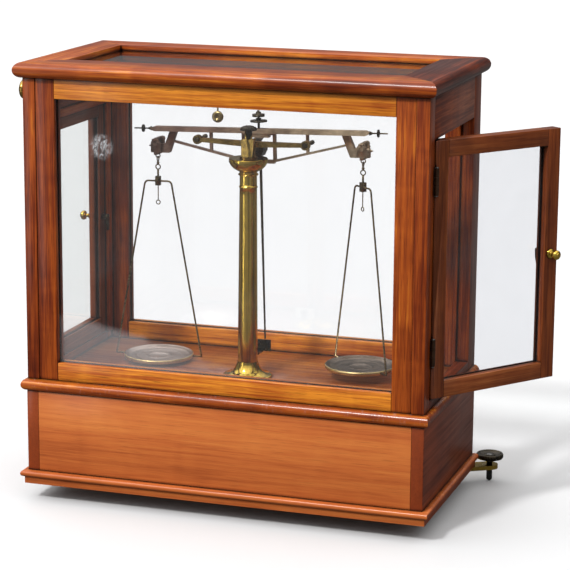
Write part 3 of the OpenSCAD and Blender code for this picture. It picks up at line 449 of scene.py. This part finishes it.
METALS = {
    "bright_brass": dict(dark=(0.42, 0.265, 0.040), light=(0.82, 0.56, 0.11), rough=0.15, spread=0.08,
                         lines=EVEN_400, cloud=45, stain=(0.16, 0.09, 0.02), relief=0.000008),
    "column_brass": dict(dark=(0.36, 0.225, 0.034), light=(0.97, 0.67, 0.12), rough=0.17, spread=0.06,
                         lines=ALONG_THE_SHAFT, cloud=12, stain=(0.2, 0.12, 0.03), stained=0.2,
                         relief=0.00022, lines_share=0.75),
    "dark_brass": dict(dark=(0.030, 0.023, 0.015), light=(0.10, 0.072, 0.04), rough=0.30, spread=0.14,
                       lines=EVEN_500, cloud=120, stain=(0.014, 0.011, 0.009), metallic=0.9),
    "hinge_brass": dict(dark=(0.030, 0.016, 0.010), light=(0.095, 0.050, 0.026), rough=0.34, spread=0.14,
                        lines=EVEN_500, cloud=120, stain=(0.014, 0.009, 0.007), metallic=0.8),
    "wire_brass": dict(dark=(0.14, 0.10, 0.045), light=(0.30, 0.22, 0.11), rough=0.28, spread=0.12,
                       lines=(300, 300, 900), cloud=90, stain=BROWN_STAIN),
    "beam_bronze": dict(dark=(0.30, 0.21, 0.135), light=(0.76, 0.58, 0.38), rough=0.42, spread=0.14,
                        lines=(90, 900, 900), cloud=60, stain=(0.17, 0.11, 0.09), stained=0.4, metallic=0.75,
                        fade=(0.06, (0.54, 0.44, 0.50))),
    "aged_brass": dict(dark=(0.20, 0.125, 0.032), light=(0.50, 0.33, 0.09), rough=0.22, spread=0.14,
                       lines=EVEN_300, cloud=110, stain=(0.07, 0.04, 0.015), stained=0.5),
    "pan_brass": dict(dark=(0.32, 0.235, 0.19), light=(0.52, 0.42, 0.37), rough=0.32, spread=0.14,
                      lines=EVEN_500, cloud=50, stain=(0.2, 0.15, 0.12), stained=0.35),
    # The right pan: the same brass darker, as painted shade
    "pan_dull": dict(dark=(0.115, 0.085, 0.062), light=(0.24, 0.185, 0.145), rough=0.32, spread=0.14,
                     lines=EVEN_500, cloud=50, stain=(0.08, 0.06, 0.045), stained=0.35),
    "pan_rim": dict(dark=(0.42, 0.30, 0.12), light=(0.78, 0.60, 0.28), rough=0.36, spread=0.10,
                    lines=EVEN_500, cloud=60, stain=(0.2, 0.15, 0.08)),
    "steel": dict(dark=(0.10, 0.10, 0.10), light=(0.22, 0.215, 0.21), rough=0.3, spread=0.12,
                  lines=(400, 400, 1200), cloud=90, stain=BROWN_STAIN, stained=0.25),
    "black_brass": dict(dark=(0.010, 0.008, 0.006), light=(0.05, 0.038, 0.022), rough=0.28, spread=0.16,
                        lines=EVEN_500, cloud=150, stain=(0.10, 0.07, 0.03), stained=0.35, metallic=0.8),
    # The rider carrier's round plate, with painted ring highlights and shade
    "turned_brass": dict(dark=(0.46, 0.34, 0.15), light=(0.85, 0.66, 0.32), rough=0.3, spread=0.1,
                         lines=EVEN_300, cloud=90, stain=(0.1, 0.06, 0.02), painted_rings=(DISC_SPOT, DISC_RADIUS)),
}
MATS = {
    "mahogany": wood("mahogany", *RED),
    "mahogany_door_painted_shade": wood("mahogany_door_painted_shade", *RED_IN_PAINTED_SHADE),
    "mahogany_plinth": wood("mahogany_plinth", *FADED, contrast=0.55, pore_depth=0.25),
    "polished_deck": wood("polished_deck", *RED, painted_top_shade=0.5, coat=0.35, coat_rough=0.18, painted_reflection=DECK_PAINTED_REFLECTION),
    "pane_glass": glass("pane_glass"),
    "door_pane": glass("door_pane", veil=0.012, tint=(0.90, 0.905, 0.918)),
    "window_pane": glass("window_pane", veil=0.006, smudge=PANE_SMUDGE, tint=(0.993, 0.995, 0.998),
                         low_painted_reflection=PANE_LOW_REFLECTION),
    "agate": stone("agate"),
    "scale_ivory": ivory("scale_ivory"),
}
for name, values in METALS.items():
    MATS[name] = metal(name, **values)

# A node's material where it isn't the one that its record row names
NODES_IN = {
    "aged_brass": ("column_head", "arrest_arms", "rider_rod", "arrest_knob"),
    "turned_brass": ("rider_carrier",),
    "column_brass": ("column_shaft",),
    "window_pane": ("window_glass",),
    "door_pane": ("right_door_glass",),
    "hinge_brass": ("hinge_post_leaves", "left_hinge_leaves", "right_hinge_leaves"),
    "wire_brass": ("left_hook", "right_hook", "left_bow", "right_bow"),
    "pan_dull": ("right_pan",),
    "black_brass": ("sensitivity_nuts", "left_poising_nut", "right_poising_nut", "left_levelling_wheel",
                    "right_levelling_wheel", "rear_foot"),
}
MATERIAL_OF = {**SLOT_OF, **{node: material for material, nodes in NODES_IN.items() for node in nodes}}

SMOOTH_BELOW = math.radians(32)


def new_piece(name, bm, body, material):
    """A mesh piece that rides on a body. Its edges look sharp from SMOOTH_BELOW on."""
    mesh = bpy.data.meshes.new(name)
    bm.to_mesh(mesh)
    bm.free()
    for p in mesh.polygons:
        p.use_smooth = True
    mesh.set_sharp_from_angle(angle=SMOOTH_BELOW)
    mesh.materials.append(MATS[material])
    o = bpy.data.objects.new(name, mesh)
    bpy.context.scene.collection.objects.link(o)
    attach(o, body)
    return o


def copy_of(node, weld):
    """A node's mesh with vertices nearer than weld made one."""
    bm = bmesh.new()
    bm.from_mesh(NODES[node].data)
    bmesh.ops.remove_doubles(bm, verts=bm.verts, dist=weld)
    return bm


def islands(bm):
    """The vertices of each separate board."""
    seen, out = set(), []
    for start in bm.verts:
        if start in seen:
            continue
        stack, group = [start], []
        seen.add(start)
        while stack:
            v = stack.pop()
            group.append(v)
            for e in v.link_edges:
                w = e.other_vert(v)
                if w not in seen:
                    seen.add(w)
                    stack.append(w)
        out.append(group)
    return out


# Faces that meet at less than FLAT_BELOW become one, and edges sharper than EASED_FROM are eased
FLAT_BELOW = math.radians(0.8)
EASED_FROM = math.radians(40)
SHORTEST_EASED = 2.8 * MM

# Boards that reach past RIGHT_END_X are at the right end, and tones differ by TONE_SPREAD either way
RIGHT_END_X = 0.15
TONE_SPREAD = 0.02


def eased(node, ease):
    """A copy of a wooden node with flat faces made whole and its long sharp edges rounded by ease, in mm."""
    bm = copy_of(node, 0.01 * MM)
    bmesh.ops.dissolve_limit(bm, angle_limit=FLAT_BELOW, verts=bm.verts, edges=bm.edges)
    bmesh.ops.dissolve_degenerate(bm, dist=0.001 * MM, edges=bm.edges)
    sharp = [e for e in bm.edges if len(e.link_faces) == 2 and e.calc_face_angle(0) > EASED_FROM
             and e.calc_length() > SHORTEST_EASED]
    bmesh.ops.bevel(bm, geom=sharp, offset=ease * MM, offset_type="OFFSET", segments=2, profile=0.55,
                    affect="EDGES", clamp_overlap=True)
    bm.verts.ensure_lookup_table()
    bm.verts.index_update()
    return bm


def boards(node, material, ease=0.5, opened=0.0, pivot=(0, 0), upright=0.0, level=0.0, right_end_shade=0.0,
           *, seed):
    """Stands for a node's boards: edges eased by ease, in mm, and the grain runs along each board's longest
    side, in the door's own directions where a door stands opened about a pivot. upright and level make the
    boards of that direction lighter, and the right end shade makes the boards across the case at its right
    end darker, as painted shade on the end that faces away from the light."""
    bm = eased(node, ease)
    grain = [None] * len(bm.verts)
    along = [(1, 0, 0)] * len(bm.verts)
    tone = [0.0] * len(bm.verts)
    rnd = random.Random(seed)
    closed = Matrix.Rotation(-opened, 3, "Z")
    centre = Vector((pivot[0], pivot[1], 0))
    groups = [(group, [closed @ (v.co - centre) for v in group]) for group in islands(bm)]
    groups.sort(key=lambda g: tuple(round(min(p[i] for p in g[1]), 4) for i in range(3)))
    for group, places in groups:
        size = [max(p[i] for p in places) - min(p[i] for p in places) for i in range(3)]
        a = size.index(max(size))
        b, c = [i for i in range(3) if i != a]
        axis = closed.transposed() @ Vector([float(i == a) for i in range(3)])
        shift = Vector((rnd.uniform(-3, 3), rnd.uniform(-3, 3), rnd.uniform(-3, 3)))
        own = (upright if a == 2 else level) + rnd.uniform(-TONE_SPREAD, TONE_SPREAD)
        # Painted shade: the cross boards at the right end, which faces away from the light, get a darker tone
        if a == 1 and max(p[0] for p in places) > RIGHT_END_X:
            own += right_end_shade
        for v, p in zip(group, places):
            grain[v.index] = (p[a] + shift[0], p[b] + shift[1], p[c] + shift[2])
            along[v.index] = axis
            tone[v.index] = own
    o = new_piece(node + "_boards", bm, BODY_OF[node], material)
    for name, vectors in (("grain", grain), ("along", along)):
        attribute = o.data.attributes.new(name, "FLOAT_VECTOR", "POINT")
        attribute.data.foreach_set("vector", [x for v in vectors for x in v])
    attribute = o.data.attributes.new("tone", "FLOAT", "POINT")
    attribute.data.foreach_set("value", tone)
    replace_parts(o, node)


# The right door stands open about its hinges
OPEN = math.radians(-36.5)
HINGE = (0.2024, -0.0456)

# The negative right end values below paint shade on the cross boards at the right end
boards("base_board", "mahogany_plinth", 0.3, level=0.09, seed=11)
boards("plinth_ends", "mahogany_plinth", level=0.03, right_end_shade=-0.16, seed=12)
boards("plinth_panels", "mahogany_plinth", level=0.09, seed=13)
boards("deck", "polished_deck", 0.4, level=0.09, seed=14)
boards("corner_posts", "mahogany", seed=15)
# The rails are lighter than the stiles: painted light for the glow that the front light gives the rails
boards("window_frames", "mahogany", upright=0.01, level=0.18, seed=16)
boards("side_rails", "mahogany", right_end_shade=-0.08, seed=17)
boards("door_stops", "mahogany", seed=18)
boards("top_frame", "mahogany", 0.4, level=0.06, right_end_shade=-0.2, seed=19)
boards("right_door_frame", "mahogany_door_painted_shade", opened=OPEN, pivot=HINGE, level=0.05, seed=20)
boards("left_door_frame", "mahogany_door_painted_shade", seed=21)


def fittings(node, material, second=None, test=None):
    """Stands for a node of metal: the same shape, smooth where it is round. Faces that pass the test have the
    second material."""
    o = new_piece(node + "_fittings", copy_of(node, 0.001 * MM), BODY_OF[node], material)
    if second:
        o.data.materials.append(MATS[second])
        for poly in o.data.polygons:
            poly.material_index = int(test(poly))
    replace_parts(o, node)


PAN_WALL = 1.2 * MM


def outer_wall(node):
    """Test for the outer wall of a pan."""
    lo, hi = corners(node)
    axis = 0.5 * (lo + hi).xy
    inner = 0.5 * (hi.x - lo.x) - PAN_WALL
    return lambda q: (q.center.xy - axis).length > inner and q.normal.z < 0.9


# Where the second materials begin: the cap of the column's head, and the inner sides of the doors
DECK_Z = 0.124
CAP_Z = DECK_Z + 0.24405
LEFT_INSIDE_X = -0.1878
DOOR_OUT = Vector((math.cos(OPEN), math.sin(OPEN), 0))
HINGE_TO_INSIDE = 14.6 * MM
RIGHT_INSIDE = Vector((HINGE[0], HINGE[1], 0)).dot(DOOR_OUT) - HINGE_TO_INSIDE
SECOND = {
    "left_pan": ("pan_rim", outer_wall("left_pan")),
    "right_pan": ("pan_rim", outer_wall("right_pan")),
    "column_head": ("black_brass", lambda q: q.center.z > CAP_Z),
    "left_door_catch": ("dark_brass", lambda q: q.center.x > LEFT_INSIDE_X),
    "right_door_catch": ("dark_brass", lambda q: q.center.dot(DOOR_OUT) < RIGHT_INSIDE),
}
AS_THEY_ARE = ("window_glass", "top_glass", "right_door_glass", "left_door_glass", "bearing_agate",
               "scale_plate")
for name, obj in NODES.items():
    if obj.hide_render:
        continue
    if name in AS_THEY_ARE:
        obj.data.materials.clear()
        obj.data.materials.append(MATS[MATERIAL_OF[name]])
    else:
        fittings(name, MATERIAL_OF[name], *SECOND.get(name, ()))


def block(bm, lo, hi):
    """Adds a box from corner to corner."""
    for v in bmesh.ops.create_cube(bm, size=1.0)["verts"]:
        v.co = Vector([lo[i] if v.co[i] < 0 else hi[i] for i in range(3)])


def rounded_plate(lo, hi, ease):
    """A box with rounded edges."""
    bm = bmesh.new()
    block(bm, lo, hi)
    bmesh.ops.bevel(bm, geom=list(bm.edges), offset=ease, segments=2, profile=0.6, affect="EDGES")
    return bm


# Scale plate: a dark carrier plate, and on the operator's side a pale face with ruled lines
FACE_INSET = 0.4 * MM
LINE_STEP = 0.9 * MM
LINE_HALF = 0.11 * MM
SHORT_LINE = 2.6 * MM
LONG_LINE = 4.2 * MM
LINES_FOOT = 3.5 * MM
LINES_EACH_SIDE = 10
BASE_LINE_HALF = 9.2 * MM
BASE_LINE_THICK = 0.2 * MM


def scale_plate_pieces():
    lo, hi = corners("scale_plate")
    back = rounded_plate(lo, (hi.x, hi.y - 0.7 * MM, hi.z), 0.3 * MM)
    face = rounded_plate((lo.x + FACE_INSET, hi.y - 0.8 * MM, lo.z + FACE_INSET),
                         (hi.x - FACE_INSET, hi.y - 0.1 * MM, hi.z - FACE_INSET), 0.2 * MM)
    rule = bmesh.new()
    middle = 0.5 * (lo.x + hi.x)
    near, far = hi.y - 0.2 * MM, hi.y - 0.04 * MM
    foot = lo.z + LINES_FOOT
    for k in range(-LINES_EACH_SIDE, LINES_EACH_SIDE + 1):
        x = middle + k * LINE_STEP
        tall = LONG_LINE if k % 5 == 0 else SHORT_LINE
        block(rule, (x - LINE_HALF, near, foot), (x + LINE_HALF, far, foot + tall))
    block(rule, (middle - BASE_LINE_HALF, near, foot - BASE_LINE_THICK), (middle + BASE_LINE_HALF, far, foot))
    body = BODY_OF["scale_plate"]
    for name, bm, material in (("scale_plate_back", back, "black_brass"),
                               ("scale_plate_face", face, "scale_ivory"),
                               ("scale_plate_rule", rule, "black_brass")):
        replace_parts(new_piece(name, bm, body, material), "scale_plate")


scale_plate_pieces()

# Studio: a pale floor that is darker in reflections and in bounced light, so that polish and panes show a dim
# room, soft surroundings that are brightest at the left, in front and above, a soft sun and two strip lamps.
# ROOM_BY_HEIGHT gives brightness by the height of a direction, from 0, level, to 1, straight up.
FLOOR_HALF = 60
FLOOR_SEEN = (0.60, 0.60, 0.603)
FLOOR_BOUNCED = (0.24, 0.232, 0.225)
FLOOR_MIRRORED = (0.09, 0.087, 0.084)
ROOM_BY_HEIGHT = [(0.0, 0.6), (0.08, 0.22), (0.34, 0.16), (0.5, 0.95), (0.7, 1.3), (1.0, 1.3)]
ROOM_BLUE = 1.01
BRIGHT_SIDE = (-0.62, -0.5, 0.6)
DIM_TO_BRIGHT = (0.05, 1.78)


def make_floor():
    mesh = bpy.data.meshes.new("floor")
    rim = [(-FLOOR_HALF, -FLOOR_HALF, 0), (FLOOR_HALF, -FLOOR_HALF, 0),
           (FLOOR_HALF, FLOOR_HALF, 0), (-FLOOR_HALF, FLOOR_HALF, 0)]
    mesh.from_pydata(rim, [], [(0, 1, 2, 3)])
    floor = bpy.data.objects.new("floor", mesh)
    bpy.context.scene.collection.objects.link(floor)
    t = material_tree("floor")
    ray = t.add("ShaderNodeLightPath").outputs
    colour = t.mix(ray["Is Diffuse Ray"], FLOOR_SEEN, FLOOR_BOUNCED)
    colour = t.mix(ray["Is Reflection Ray"], colour, FLOOR_MIRRORED)
    mesh.materials.append(t.finish(t.principled(Base_Color=colour, Roughness=0.7, Specular_IOR_Level=0.1)))


def make_room():
    world = bpy.data.worlds.new("studio")
    bpy.context.scene.world = world
    t = Tree(world, "ShaderNodeOutputWorld")
    way = t.add("ShaderNodeTexCoord").outputs["Generated"]
    by_height = t.ramp(t.xyz(way)[2], [(z, (v, v, v * ROOM_BLUE)) for z, v in ROOM_BY_HEIGHT])
    by_side = t.remap(t.dot(way, BRIGHT_SIDE), -1.0, 1.0, *DIM_TO_BRIGHT)
    light = t.add("ShaderNodeBackground")
    t.put(light.inputs["Color"], t.math("MULTIPLY", by_height, by_side))
    light.inputs["Strength"].default_value = 1.0
    t.finish(light)


def add_lamp(name, data, place, aim):
    o = bpy.data.objects.new(name, data)
    bpy.context.scene.collection.objects.link(o)
    o.location = place
    o.rotation_euler = (Vector(aim) - Vector(place)).to_track_quat("-Z", "Y").to_euler()
    o.visible_camera = False


def sun(name, strength, softness, place, aim):
    data = bpy.data.lights.new(name, "SUN")
    data.energy = strength
    data.angle = math.radians(softness)
    add_lamp(name, data, place, aim)


def strip(name, watts, width, height, place, aim):
    data = bpy.data.lights.new(name, "AREA")
    data.energy = watts
    data.shape = "RECTANGLE"
    data.size = width
    data.size_y = height
    add_lamp(name, data, place, aim)


make_floor()
make_room()
sun("key", 2.3, 7, (-0.55, -1.5, 1.7), (0, 0, 0.1))
strip("strip_left", 0.7, 0.10, 0.6, (-0.55, -0.62, 0.30), (0, 0, 0.30))
strip("strip_right", 0.12, 0.05, 0.6, (0.72, -0.20, 0.30), (0, 0, 0.30))
